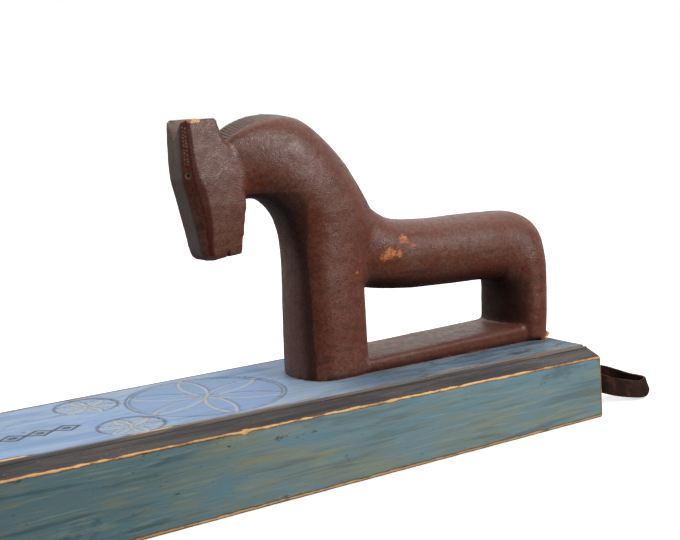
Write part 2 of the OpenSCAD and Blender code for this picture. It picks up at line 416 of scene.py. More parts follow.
def horse_material():
    p = Paint("worn_brown_paint", IOR=1.47)
    clouds = p.noise(20, 5, 0.6, warp=0.6)
    mottle = p.noise(560, 5, 0.7, warp=0.3)
    gloss = p.noise(230, 6, 0.75, warp=0.5)
    crackle = p.cells(1500)
    tiny = p.noise(1900, 3, 0.6)
    grain = p.noise(180, 4, 0.6, (0.12, 1, 1))
    streaks = p.noise(330, 4, 0.65, (0.10, 1, 1))
    specks = p.noise(1000, 2, 0.5)
    redder, dusty, grime = p.stored("redder"), p.stored("dusty"), p.stored("grime")

    red = p.mix(p.between(mottle, 0.35, 0.65), (0.088, 0.023, 0.012), (0.142, 0.041, 0.022))
    grey = p.mix(p.between(mottle, 0.35, 0.65), (0.090, 0.032, 0.020), (0.150, 0.065, 0.046))
    colour = p.layered(
        red,
        (p.between(clouds, 0.40, 0.64, 0.0, 0.9), grey),
        (p.between(grain, 0.52, 0.70, 0, 0.45), (0.045, 0.015, 0.010)),
        (p.between(streaks, 0.56, 0.72, 0, 0.4), (0.165, 0.050, 0.030)),
        # Painted shade in dark red: behind the head's bevel, low on the belly and on the plate's sides
        (p.times(redder, 0.92), (0.048, 0.007, 0.003)),
        # Dust on the plate's top, a painted sheen on the head's front and painted light in the ear notch
        (p.times(dusty, p.between(clouds, 0.3, 0.6, 0.35, 0.75)), (0.150, 0.112, 0.092)),
        (p.times(p.stored("mane"), 0.5), (0.080, 0.055, 0.044)),
        # Painted shade: dark where faces turn down or into the grip, under the throat and round the foot
        (p.times(grime, 0.75), (0.022, 0.012, 0.010)),
        # Painted shade in the cuts: the mane's hatching, the pupil and the mouth
        (p.stored("cut"), (0.022, 0.015, 0.012)),
        # Rubbed paint round the eye and the punches, and a painted highlight on the plate's ridge
        (p.stored("rubbed"), (0.300, 0.230, 0.205)),
        # Light specks: painted glints on the crackled varnish
        (p.between(specks, 0.72, 0.76, 0, 0.5), (0.300, 0.200, 0.160)))

    # Bare wood in ragged patches with a red rim: orange where hands wore it, pale where chipped
    fresh = p.stored("fresh")
    near_bare = p.between(p.stored("bare"), 0.02, 0.25)
    ragged = p.between(p.noise(760, 6, 0.8, (0.7, 1, 1), 0.8), 0.33, 0.67)
    lost = p.math("SUBTRACT", p.times(p.stored("bare"), 1.15), ragged)
    halo = p.times(p.between(lost, -0.6, 0.0, 0, 0.75), near_bare)
    bare = p.times(p.between(lost, -0.05, 0.4), p.between(tiny, 0.36, 0.54, 0.35, 1.0))
    blotch = p.between(gloss, 0.40, 0.60)
    raw = p.mix(fresh, p.mix(blotch, (0.30, 0.072, 0.012), (0.56, 0.215, 0.050)),
                p.mix(blotch, (0.60, 0.30, 0.10), (0.80, 0.50, 0.20)))
    colour = p.layered(colour, (p.times(halo, p.between(fresh, 0, 1, 1, 0.2)), (0.150, 0.026, 0.007)),
                       (p.times(bare, near_bare), raw))

    rough = p.between(gloss, 0.35, 0.65, 0.24, 0.46)
    dull = p.plus(p.times(dusty, 0.25), p.times(grime, 0.2))
    rough = p.plus(p.plus(rough, dull), p.times(redder, 0.12))
    relief = p.plus(p.times(crackle, 0.35), p.times(tiny, 0.55))
    relief = p.plus(relief, p.times(mottle, 0.35))
    # The painted shade also shines less
    matt = p.math("ADD", redder, grime, clamp=True)
    return p.finish(colour, rough, relief, 0.00028, 0.6, 0.37, matt)


def leather_material():
    p = Paint("worn_leather", IOR=1.4)
    clouds = p.noise(70, 5, 0.6)
    pebble = p.cells(1300)
    creases = p.noise(500, 4, 0.6, (1, 1, 0.25), 1.0)
    colour = p.layered(
        p.mix(p.between(clouds, 0.35, 0.65), (0.009, 0.0035, 0.0022), (0.024, 0.009, 0.005)),
        (p.between(creases, 0.55, 0.72, 0, 0.5), (0.070, 0.026, 0.013)),
        (p.stored("worn"), (0.120, 0.040, 0.018)))
    relief = p.plus(p.times(pebble, 0.5), creases)
    rough = p.between(clouds, 0.3, 0.7, 0.48, 0.70)
    return p.finish(colour, rough, relief, 0.0003, 0.5, 0.10)


def hidden_wood_material(name, axis):
    """Plain split wood, with its grain along the given axis."""
    p = Paint(name, IOR=1.45)
    stretch = tuple(0.06 if i == axis else 1.0 for i in range(3))
    grain = p.noise(420, 6, 0.62, stretch, 0.5)
    rays = p.noise(1500, 3, 0.5, stretch)
    colour = p.mix(p.between(grain, 0.35, 0.68), (0.56, 0.38, 0.20), (0.36, 0.20, 0.09))
    colour = p.mix(p.between(rays, 0.6, 0.75, 0, 0.4), colour, (0.22, 0.11, 0.05))
    return p.finish(colour, p.between(grain, 0.3, 0.7, 0.55, 0.75), grain, 0.0003, 0.6)


# ---------------------------------------------------------------- carved lines on the board

def line_profile(distance, width):
    return 1 - smoothstep(width * 0.25, width * 0.95, np.abs(distance))


def rosette_marks(u, v, radius, turn, width):
    """Ring lines (with a line of painted shade beside each petal line), petal lines and filled field of a
    compass rosette round the point 0, 0.
    """
    r = np.hypot(u, v)
    inner_ring = INNER_RING * radius
    ring = np.maximum(line_profile(r - radius, width), line_profile(r - inner_ring, width * 0.8))
    arcs, shaded = np.zeros_like(r), np.zeros_like(r)
    inside = np.zeros_like(r)
    for k in range(6):
        angle = math.radians(turn + 60 * k)
        dist = np.hypot(u - radius * math.cos(angle), v - radius * math.sin(angle))
        arcs = np.maximum(arcs, line_profile(dist - radius, width * 1.75))
        # A dark line of painted shade beside each petal's groove
        shaded = np.maximum(shaded, line_profile(dist - radius - width * 1.5, width * 0.6))
        inside += dist < radius
    field = 1 - smoothstep(inner_ring - 1.2, inner_ring, r)
    petals = np.where((inside >= 2) & (r < inner_ring), 1.0, 0.0)
    within = 1 - smoothstep(inner_ring, radius, r)
    return np.maximum(ring, 0.6 * shaded * within), arcs * within, field, petals


def lozenge_strokes():
    """Outlines of the carved band of lozenges, measured from the large rosette's middle."""
    strokes = []
    for k in range(LOZENGES):
        middle = np.array([LOZENGE_AT[0] - 2 * LOZENGE_HALF[0] * k, LOZENGE_AT[1]])
        for size in (1.0, 0.28):
            along, across = size * LOZENGE_HALF[0], size * LOZENGE_HALF[1]
            corners = [[along, 0], [0, across], [-along, 0], [0, -across], [along, 0]]
            strokes.append(middle + np.array(corners))
    return strokes


def stroke_distance(u, v, stroke):
    best = np.full(len(u), 99.0)
    for a, b in zip(stroke[:-1], stroke[1:]):
        ab = b - a
        t = np.clip(((u - a[0]) * ab[0] + (v - a[1]) * ab[1]) / (ab @ ab), 0, 1)
        best = np.minimum(best, np.hypot(u - a[0] - t * ab[0], v - a[1] - t * ab[1]))
    return best


def carving(u, v):
    """Depth and colour masks of the carved decoration; u and v start at the large rosette."""
    dark, pale, field, depth = (np.zeros_like(u) for _ in range(4))
    places = [((0, 0), ROSETTE_R, ROSETTE_TURN, 0.8, 1.0)]
    places += [(at, SMALL_R, SMALL_TURN, 0.7, 0.5) for at in SMALL_AT]
    for (cu, cv), radius, turn, width, filled in places:
        ring, arcs, inner, petals = rosette_marks(u - cu, v - cv, radius, turn, width)
        dark = np.maximum(dark, ring * 0.7)
        pale = np.maximum(pale, np.maximum(arcs, 0.3 * petals))
        field = np.maximum(field, inner * (1.0 - 0.35 * petals) * filled)
        depth = np.maximum(depth, np.maximum(ring, arcs) * 0.5 + petals * 0.25)
    for stroke in lozenge_strokes():
        drawn = line_profile(stroke_distance(u, v, stroke), LOZENGE_LINE)
        dark = np.maximum(dark, drawn)
        depth = np.maximum(depth, drawn * 0.5)
    return depth, dark, pale, field


# ---------------------------------------------------------------- board

# Profile of the moulded top edge, from the arris inwards: distance in from the side,
# and drop below the top face
EDGE_PROFILE = [(9.8, 1.50), (10.2, 1.75), (10.6, 1.30), (11.0, 0.60), (11.5, 0.35), (12.0, 0.50),
                (12.4, 1.30), (12.8, 2.30), (13.2, 2.30), (13.6, 1.20), (13.85, 0.25), (14.2, 0.0)]
# Where its bead, its quirks (the narrow grooves) and the top's paint lie, in from the side
BEAD = (10.7, 12.25)
QUIRKS = ((10.0, 10.5), (12.25, 13.7))
TOP_PAINT = 13.7
BEVEL_SLOPE = 0.36
LOW_ROUND = 1.1
SIDE_COLUMNS = 12
TOP_COLUMNS = 60
# Beyond each end the outline shrinks: distance from the end, and inset
END_ROUNDING = np.array([(0.0, 3.0), (0.0, 0.9), (0.12, 0.45), (0.45, 0.12), (0.9, 0.0)])
SAMPLE_STATION = 300
CHIP_X = 42.0
CHIP_SIZE = 2.0
# Above this height a worn arris is cut downwards, and below it upwards
MID_HEIGHT = 20


def half_columns():
    """Half of the plank's outline, from under its middle to the top's edge.
    Each column is (kind, a, b): what a and b mean depends on the kind."""
    columns = [("under", f, 0) for f in (0.25, 0.5, 0.75, 1.0)]
    columns += [("low", 0.45, 0.12), ("low", 0.12, 0.45)]
    columns += [("side", q, 0) for q in np.linspace(0, 1, SIDE_COLUMNS)]
    columns += [("high", 0.08, 0.45), ("high", 0.30, 0.08), ("high", 0.70, -0.22), ("high", 1.2, -0.42)]
    columns += [("high", inset, -BEVEL_SLOPE * inset) for inset in (2.2, 3.6, 5.0, 6.4, 7.8, 9.0)]
    columns += [("mould", inset, drop) for inset, drop in EDGE_PROFILE]
    return columns


def column_points(column, half, thick):
    kind, a, b = column
    if kind == "under":
        return a * (half - LOW_ROUND), np.zeros_like(half)
    if kind == "low":
        return half - a, np.full_like(half, b)
    if kind == "side":
        return half, LOW_ROUND + a * (thick - BEVEL_DROP - 2.0)
    if kind == "high":
        return half - a, thick - BEVEL_DROP - b
    return half - a, thick - b


def stations():
    """Distances along the plank: close together where it is carved."""
    fine_from, fine_to = ROSETTE_X - 168, ROSETTE_X + 44
    parts = [np.arange(front_x + 1.2, fine_from, 2.7), np.arange(fine_from, fine_to, 0.76),
             np.arange(fine_to, tail_x - 1.2, 1.5)]
    return np.concatenate(parts)


def board_grid():
    """Stations, end insets, points and kinds of column of the plank's skin."""
    middle = stations()
    x = np.concatenate([front_x + END_ROUNDING[:, 0], middle, tail_x - END_ROUNDING[::-1, 0]])
    inset = np.concatenate([END_ROUNDING[:, 1], 0 * middle, END_ROUNDING[::-1, 1]])
    half, thick = board_half(x), board_t(x)
    right = half_columns()
    y, z = zip(*[column_points(c, half, thick) for c in right])
    shares = np.linspace(1, -1, 2 * TOP_COLUMNS + 1)[1:-1]
    top_y = [share * (half - EDGE_PROFILE[-1][0]) for share in shares]
    ys = np.array(list(y) + top_y + [-v for v in y[::-1]] + [0 * half]).T
    zs = np.array(list(z) + [thick] * len(shares) + list(z[::-1]) + [0 * half]).T
    ys *= (1 - inset / half)[:, None]
    zs = inset[:, None] + zs * (1 - 2 * inset / thick)[:, None]
    kinds = [c[0] for c in right]
    return x, inset, ys, zs, np.array(kinds + ["top"] * len(shares) + kinds[::-1] + ["under"])


def arris_distance(x, inset, ys, zs):
    """Distance of each point from the nearest arris, measured along the surface."""
    lengths = np.hypot(np.diff(ys[SAMPLE_STATION]), np.diff(zs[SAMPLE_STATION]))
    run = np.concatenate([[0], np.cumsum(lengths)])
    low, high = 5, 6 + SIDE_COLUMNS
    arris = [run[low] + 0.7, run[high] + 0.2]
    arris += [run[-2] - a for a in arris]
    across = np.min([np.abs(run - a) for a in arris], axis=0)
    to_end = np.maximum(np.minimum(x - front_x, tail_x - x) - 0.3, 0)
    edge = np.minimum(across[None, :], to_end[:, None])
    edge[inset > 1] = inset.max()
    return edge.ravel()


def filler_gap(x, y):
    """Distance from the line round the horse's foot, on the board's top."""
    leg = (np.abs((x - 2.7) / 21.6) ** 2.7 + np.abs(y / 23.1) ** 2.7) ** (1 / 2.7) * 21.6 - 21.6
    rear = (np.abs((x - 139) / 14.6) ** 2.1 + np.abs(y / 24.9) ** 2.1) ** (1 / 2.1) * 14.6 - 14.6
    plate = np.where(within(x, 3, 140), np.abs(y) - PLATE_W / 2 - 0.6, 9.0)
    return np.minimum(np.minimum(np.abs(leg), np.abs(rear)), np.abs(plate))


def make_board():
    stops, inset, ys, zs, kinds = board_grid()
    edge = arris_distance(stops, inset, ys, zs)
    xs = np.repeat(stops[:, None], ys.shape[1], axis=1)
    flat = np.stack([xs.ravel(), ys.ravel(), zs.ravel()], axis=1)
    x, y, z = flat.T
    kind = np.tile(kinds, len(stops))
    on_end = np.repeat(inset > 0.5, len(kinds))
    on_cap = np.repeat(inset > 1, len(kinds))
    below_top = board_t(x) - z

    depth, dark, pale, field = (np.zeros(len(flat)) for _ in range(4))
    is_top = (kind == "top") & ~on_end
    carved = carving(x[is_top] - ROSETTE_X, y[is_top])
    depth[is_top], dark[is_top], pale[is_top], field[is_top] = carved
    z -= depth

    # Hand planing, worn arrises, and one chip on the near side
    nick = np.maximum(value_noise(flat, (9, 400, 400), 3), 0) * 0.30
    nick += np.maximum(value_noise(flat, (2.6, 400, 400), 4), 0) * 0.16
    chip = bump(x - CHIP_X, CHIP_SIZE) * (y < 0) * (z > MID_HEIGHT)
    cut = np.where(on_end, 0, bump(edge, 1.3) * (nick + 0.7 * chip))
    y -= np.sign(y) * cut * 0.8
    z += np.where(z > MID_HEIGHT, -cut, cut * 0.8)
    wave = np.abs(0.12 * value_noise(flat, (60, 14, 14), 5) + 0.05 * value_noise(flat, (14, 5, 5), 6))
    y -= np.sign(y) * wave * (kind == "side")
    z -= wave * is_top
    x += y * TAIL_SKEW * (x - front_x) / board_len

    points, faces = skin(flat.reshape(len(stops), len(kinds), 3))
    board = mesh_object("painted_board", points, faces)
    outward(board)

    # The painter's colours change at the groove beside the bead
    inward = board_half(x) - np.abs(y)
    mould = (kind == "mould") & ~on_end
    sloping = ((kind == "high") & ~on_end) | mould
    bevel = sloping & (edge > 0.1) & (below_top < 6) & (inward < TOP_PAINT)
    quirk = mould & (within(inward, *QUIRKS[0]) | within(inward, *QUIRKS[1]))
    is_top = is_top | (mould & (inward > TOP_PAINT))
    rim = np.where(is_top, inward - 13.9, 9.0)
    worn_rim = smoothstep(-0.8, 0.1, value_noise(flat, (26, 400, 400), 8))
    worn_rim *= 0.45 + 0.55 * smoothstep(-(ROSETTE_X + 60), -(ROSETTE_X - 40), -x)
    edge = np.minimum(edge, np.maximum(rim, 0) * 0.55 + 1.8 - worn_rim * 1.7)
    gap = filler_gap(x - LEG_X, y)
    # The marks include painted shade that grows towards the front end
    mark(board, is_top=is_top, is_bevel=bevel, bead=mould & within(inward, *BEAD), quirk=quirk, edge=edge,
         worn=0.22 * value_noise(flat, (40, 400, 400), 7) + 0.9 * chip,
         petal=field, pale_line=pale, dark_line=dark,
         handled=smoothstep(-45, 45, x - LEG_X) * is_top,
         rim=is_top * (1 - smoothstep(0.3, 1.8, rim)),
         grimy=smoothstep(0, 330, LEG_X - x),
         filler=(1 - smoothstep(0.2, 0.8, gap)) * is_top,
         is_base=((kind == "under") | ((kind == "low") & (z < 0.2))) & ~on_cap)
    board.data.materials.append(board_material())
    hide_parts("board")
    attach(board, "board")


# ---------------------------------------------------------------- horse

# Front leg, chest and neck: throat edge, crest edge, half width, squareness
NECK_ROWS = [
    [-18.2, 0, 23.6, 0, 22.4, 2.7], [-18, 24, 23.8, 24, 21.6, 2.7], [-17.7, 48, 24.5, 48, 20.9, 2.7],
    [-17.6, 63, 27.3, 66, 20.2, 2.7], [-19.3, 75.5, 33.3, 83.2, 19.9, 2.5],
    [-21.8, 84.2, 29, 96.2, 19.6, 2.4], [-25.2, 90, 17.6, 113.8, 19.2, 2.3],
    [-29.5, 94.6, 5.6, 126.8, 18.4, 2.3], [-34, 97.8, -8, 137.6, 17, 2.3],
    [-39, 99.2, -24, 141.6, 15, 2.4], [-44, 99, -40, 140.8, 12.6, 2.6],
    [-50, 97.4, -54, 135.4, 10.4, 3], [-56, 95, -64, 127, 9.4, 3]]

# Barrel and hind leg: upper or outer edge, lower or inner edge, half width, squareness
BARREL_ROWS = [
    [20, 95, 14, 47, 16, 2.3], [33, 88.5, 27, 44, 18, 2.3], [42.5, 82.6, 40, 41.6, 18.8, 2.3],
    [55, 79.4, 54, 40, 19, 2.3], [74, 78, 74, 39, 19, 2.3], [95, 77.8, 94, 38.4, 19.2, 2.3],
    [120, 77.6, 110, 38, 19.8, 2.4], [138, 76, 120, 36.6, 20.9, 2.4],
    [150.8, 68, 124.2, 32.5, 22.6, 2.2], [155.2, 52, 125.3, 26, 23.6, 2.15],
    [155.4, 32, 125.1, 18, 24, 2.1], [154.4, 13, 125.1, 9, 24.1, 2.1],
    [152.9, 1, 125.1, 1, 24.2, 2.1]]

# Head, from the muzzle up: height of the front edge, front, width of the corner bevel, back,
# half width of the front face, half width of the head, how much higher the back edge is
HEAD_ROWS = [
    [71.3, -69.0, 2.8, -50.6, 5.0, 8.2, 2], [73, -71.3, 2.9, -50.6, 5.6, 9.0, 1.8],
    [76, -72.5, 3.4, -50.6, 6.2, 9.5, 1], [86, -74.4, 4.1, -49.2, 6.6, 10.5, 0],
    [98, -77, 4.7, -47.6, 6.7, 11.2, 0], [112, -80.2, 4.2, -49.3, 6.7, 10.9, 0],
    [120, -80.6, 3.8, -52, 6.7, 10.5, 0], [133, -80.3, 3.1, -59, 6.6, 9.5, 0.5],
    [140.9, -79.9, 2.5, -62, 6.5, 8.9, 1]]

RING_SIDES = 96
MANE_SLOPE = 0.62
EAR_NOTCH = 9.0
VOXEL = 0.95
# Left on the head, the ears, the muzzle and the crest for the smoothing to take off
HEAD_SPARE = 0.5
EAR_SPARE = 0.9
MUZZLE_SPARE = 1.15
CREST_SPARE = 0.7


def head_line(z, *columns):
    """Sum of the given columns of HEAD_ROWS at the height z."""
    return sum(along_line(z, [(row[0], row[column]) for row in HEAD_ROWS]) for column in columns)


def carved_ring(row, mane):
    """A rounded section through two points of the X-Z plane, with a roof-shaped crest."""
    x0, z0, x1, z1, half, square = row
    angle = np.arange(RING_SIDES) * 2 * math.pi / RING_SIDES
    u = np.sign(np.cos(angle)) * np.abs(np.cos(angle)) ** (2 / square)
    v = np.sign(np.sin(angle)) * np.abs(np.sin(angle)) ** (2 / square) * half
    span = math.hypot(x1 - x0, z1 - z0)
    u = np.minimum(u, 1 - 2 * mane * np.abs(v) / span)
    return np.stack([(x0 + x1) / 2 + u * (x1 - x0) / 2, v, (z0 + z1) / 2 + u * (z1 - z0) / 2], axis=1)


def neck_solid():
    rows = smooth_rows(NECK_ROWS, 8)
    rows[:, 3] += CREST_SPARE * smoothstep(105, 125, rows[:, 3])
    return skin([carved_ring(r, MANE_SLOPE * (1 - smoothstep(-48, 2, r[2])) * (r[3] > 100)) for r in rows])


def barrel_solid():
    return skin([carved_ring(r, 0) for r in smooth_rows(BARREL_ROWS, 8)])


def head_solid():
    """The faceted head, with the V-shaped cut between its ears."""
    rings = []
    for z, front, bevel, back, flat, half, rise in HEAD_ROWS:
        front -= HEAD_SPARE
        half += HEAD_SPARE
        z += EAR_SPARE * (z > 140) - MUZZLE_SPARE * (z < 74)
        near = [[front, -flat - HEAD_SPARE, z], [front + bevel, -half, z],
                [back + HEAD_SPARE, -half, z + rise]]
        rings.append(near + [[x, -y, h] for x, y, h in near[::-1]])
    head = mesh_object("head", *skin(rings))
    outward(head)
    deep = 141.5 - EAR_NOTCH
    cut = [[[x, 0, deep], [x, 9.3, 143], [x, -9.3, 143]] for x in (-90, -50)]
    cutter = mesh_object("ear_cut", *skin(cut))
    outward(cutter)
    split = head.modifiers.new("ears", "BOOLEAN")
    split.operation = "DIFFERENCE"
    split.solver = "EXACT"
    split.object = cutter
    apply_modifiers(head)
    solid = points_of(head), [list(f.vertices) for f in head.data.polygons]
    bpy.data.objects.remove(head)
    bpy.data.objects.remove(cutter)
    return solid


def plate_top(x):
    return along_line(x, [(0, PLATE_T_FRONT), (PLATE_LEN, PLATE_T_TAIL)])


def plate_solid():
    """Base plate, with its long top edges rounded."""
    rings = []
    side, r = PLATE_W / 2, PLATE_ROUND
    for x in np.linspace(0, PLATE_LEN, 24):
        arc = [(side - r + r * math.cos(a), plate_top(x) - r + r * math.sin(a))
               for a in np.radians(np.linspace(0, 90, 7))]
        ring = [(side, 0)] + arc + [(-y, z) for y, z in arc[::-1]] + [(-side, 0)]
        rings.append([[x, y, z] for y, z in ring])
    return skin(rings)


def shim_solid():
    """Bare sliver of wood under the near side of the hind leg."""
    rings = []
    for x, height in ((140, 0.3), (144, 1.4), (149, 2.2), (153, 2.4), (155.2, 2.0)):
        edge = -24.0 + 9.0 * smoothstep(143, 156, x)
        rings.append([[x, edge, 0], [x, -8, 0], [x, -8, height], [x, edge, height]])
    return skin(rings)


def joined(name, solids):
    points, faces = [], []
    for solid_points, solid_faces in solids:
        start = len(points)
        points.extend(solid_points.tolist())
        faces.extend([[start + i for i in face] for face in solid_faces])
    return mesh_object(name, points, faces)


def apply_modifiers(obj):
    graph = bpy.context.evaluated_depsgraph_get()
    mesh = bpy.data.meshes.new_from_object(obj.evaluated_get(graph))
    obj.modifiers.clear()
    obj.data = mesh


def relax(obj, share, rounds):
    """Moves each point towards the middle of its neighbours by its own share."""
    points = points_of(obj)
    edges = np.zeros(len(obj.data.edges) * 2, np.int32)
    obj.data.edges.foreach_get("vertices", edges)
    a, b = edges.reshape(-1, 2).T
    count = np.bincount(np.concatenate([a, b]), minlength=len(points))[:, None]
    for _ in range(rounds):
        total = np.zeros_like(points)
        np.add.at(total, a, points[b])
        np.add.at(total, b, points[a])
        points += share[:, None] * (total / count - points)
    set_points(obj, points)


def refine(obj, wanted, cuts):
    """Divides the faces whose middles wanted() picks."""
    bm = bmesh.new()
    bm.from_mesh(obj.data)
    middles = np.array([f.calc_center_median() for f in bm.faces]) / MM
    chosen = wanted(middles)
    edges = {e for f, pick in zip(bm.faces, chosen) if pick for e in f.edges}
    bmesh.ops.subdivide_edges(bm, edges=list(edges), cuts=cuts, use_grid_fill=True)
    bm.to_mesh(obj.data)
    bm.free()


# Along X: height of the crest, and half the width of the planed mane
CREST_LINE = [(-56, 133.9), (-48, 137.7), (-40, 140.8), (-32, 141.9), (-24, 141.6), (-8, 137.6), (6, 126.5)]
MANE_WIDTH = [(-56, 8.2), (-44, 8.0), (-30, 6.6), (-16, 5.2), (0, 4.0)]
# Middle and radius of the arc that the crest follows, in the X-Z plane
MANE_ARC = (-20, 104, 38)
HATCH_PITCH = 1.6
EYE = (-77.9, 8.9, 114.2)
EYE_RING = 1.3
PUNCHES = 11
PUNCH_ROWS = np.array([(-78.5, 8.2, 138.5), (-78.3, 8.9, 118.5)])
MOUTH_X = -58.5
# Patches worn to the wood: along, up, and size
WEAR_SPOTS = [(36.8, 63.4, 5.6), (33.2, 61.6, 4.6), (46.4, 69.8, 4.4), (42.5, 62.5, 3.2),
              (12.6, 55.8, 1.8), (51.5, 66.0, 2.2)]


def on_mane(p):
    """How strongly a point belongs to the planed mane, from 0 to 1."""
    x, y, z = p.T
    reach = along_line(x, MANE_WIDTH)
    behind = smoothstep(-58.5, -56.5, x) * (1 - smoothstep(-30, 0, x))
    inside = 1 - smoothstep(reach - 1.6, reach + 0.4, np.abs(y))
    return behind * within(along_line(x, CREST_LINE) - z, -2.5, 9) * inside


def mane_hatch(p):
    """Cuts across the front of the mane, from 0 to 1."""
    x, y, z = p.T
    middle_x, middle_z, radius = MANE_ARC
    along = radius * np.arctan2(z - middle_z, x - middle_x) + 0.02 * np.abs(y)
    wave = 0.5 + 0.5 * np.cos(2 * math.pi * along / HATCH_PITCH)
    return wave ** 3 * on_mane(p) * (1 - smoothstep(-42, -30, x)) * smoothstep(0.3, 1.2, np.abs(y))


def on_bevel(p):
    """Whether a point lies on the head's corner bevel, above the eye."""
    x, y, z = p.T
    return (x - head_line(z, 1) < 4.9) & (np.abs(y) > 6.2) & within(z, 110, 141)


def near_mouth(p):
    x, _, z = p.T
    return (np.abs(x - MOUTH_X) < 2.4) & (z < 76.5)


def bevel_distance(p, place):
    """Distance from a place on the head's corner bevel, along its surface."""
    x, y, z = p.T
    over = (x + np.abs(y) - place[0] - place[1]) / math.sqrt(2)
    at_bevel = (x < -74) & (np.abs(y) > 6.4) & (z > 108)
    return np.where(at_bevel, np.hypot(over, z - place[2]), 99.0)


def horse_details(p):
    """Depth of the small cuts and punches, and the marks that colour them."""
    hatch = mane_hatch(p)
    ring = bevel_distance(p, EYE)
    eye, pupil = bump(ring - EYE_RING, 0.3), bump(ring, 0.85)
    depth = 0.3 * hatch + 0.30 * eye + 0.5 * pupil
    rubbed = 0.55 * eye
    for row, offset in enumerate((-0.5, 0.7)):
        for k in range(PUNCHES):
            t = (k + 0.5 * row) / PUNCHES
            place = PUNCH_ROWS[0] * (1 - t) + PUNCH_ROWS[1] * t
            place = place + [offset * 0.6, offset, 0.3 * math.sin(5 * k + 2 * row)]
            dot = bump(bevel_distance(p, place), 0.38)
            depth += 0.25 * dot
            rubbed = np.maximum(rubbed, (0.65 + 0.25 * math.sin(3 * k + row)) * dot)
    return depth, np.maximum(0.4 * hatch, pupil), rubbed


def horse_body():
    """The horse's solids joined into one mesh, smoothed at their joints, fine where it is cut."""
    horse = joined("carved_horse", [neck_solid(), barrel_solid(), head_solid(), plate_solid(), shim_solid()])
    outward(horse)
    remesh = horse.modifiers.new("union", "REMESH")
    remesh.mode = "VOXEL"
    remesh.voxel_size = VOXEL * MM
    apply_modifiers(horse)

    x, _, z = points_of(horse).T
    head = 1 - smoothstep(-56, -50, x + 0.10 * (z - 100))
    relax(horse, 0.5 * (1 - 0.5 * head), 2)
    relax(horse, 0.5 * (1 - head) * smoothstep(1.5, 4, z), 3)
    withers = bump(x - 27, 13) * smoothstep(30, 50, z) * (z < 110)
    loin = bump(x - 124, 12) * smoothstep(24, 34, z)
    relax(horse, 0.5 * np.clip(withers + loin, 0, 1), 40)
    relax(horse, 0.5 * bump(x - 128, 4) * bump(z - 11, 3), 12)

    refine(horse, lambda middles: (on_mane(middles) > 0.05) & (middles[:, 0] < -14), 3)
    refine(horse, on_bevel, 3)
    refine(horse, near_mouth, 2)
    return horse


def bare_marks(p, is_head):
    """Where the paint is lost, and where the wood under it is still pale."""
    x, y, z = p.T
    bare = np.zeros(len(p))
    for spot_x, spot_z, size in WEAR_SPOTS:
        reach = np.hypot((x - spot_x) / 1.25, z - spot_z) / size
        bare = np.maximum(bare, (1 - smoothstep(0.0, 1.0, reach)) * (y < -12))
    ear_tops = is_head * smoothstep(0.2, 1.0, z - 140.7 - 0.05 * (x + 80)) * 0.42
    chipped = is_head * bump(x + 72.5, 4.2) * (y < -1) * smoothstep(139.6, 140.6, z)
    foot = (1 - smoothstep(0.5, 1.3, z)) * (0.30 + 0.35 * value_noise(p, 9, 22))
    shim = (x > 143) * (y < -7) * (z < along_line(x, [(143, 1.4), (149, 2.4)]))
    for part in (ear_tops, chipped, foot, shim):
        bare = np.maximum(bare, part)
    return np.clip(bare, 0, 1), np.maximum(shim, is_head * (z > 139))


def red_marks(p, is_head, on_plate):
    """Painted shade in dark red: behind the head's bevel, low on the belly and on the plate's sides."""
    x, y, z = p.T
    behind_edge = x - head_line(z, 1, 2)
    width = along_line(z, [(75, 2.5), (88, 4.5), (106, 6.0), (118, 3.2), (141, 2.2)])
    band = smoothstep(-1.2, -0.2, behind_edge) * (1 - smoothstep(width * 0.5, width, behind_edge))
    band *= is_head * (np.abs(y) > 6.5) * np.clip(1 + 0.25 * value_noise(p, 7, 23), 0, 1)
    belly = bump(z - 44, 5) * within(x, 30, 122)
    return np.clip(1.2 * band + 0.45 * belly + 0.4 * on_plate * (np.abs(y) > PLATE_W / 2 - 4.5), 0, 1)


def grime_marks(p, normal, is_head):
    """Painted shade inside the grip, under the throat and the muzzle, and round the foot."""
    x, _, z = p.T
    nx, ny, nz = normal.T
    in_grip = within(x, 20, 140) & (z > plate_top(x) + 1)
    under = 1 - 0.65 * smoothstep(50, 75, x) * (x < 120)
    throat = within(x, -48, -14) & (z < 102)
    return np.max([
        in_grip * smoothstep(0.35, 0.9, -nx * (x > 100) + nx * (x < 40)),
        in_grip * under * smoothstep(0.3, 0.8, -nz),
        0.8 * throat * smoothstep(0.25, 0.7, -nx - nz) * smoothstep(0.10, 0.5, np.abs(ny)),
        is_head * (z < 76) * smoothstep(0.5, 0.9, -nz),
        within(x, -10, 140) * (1 - smoothstep(1.0, 4.0, z))], axis=0)


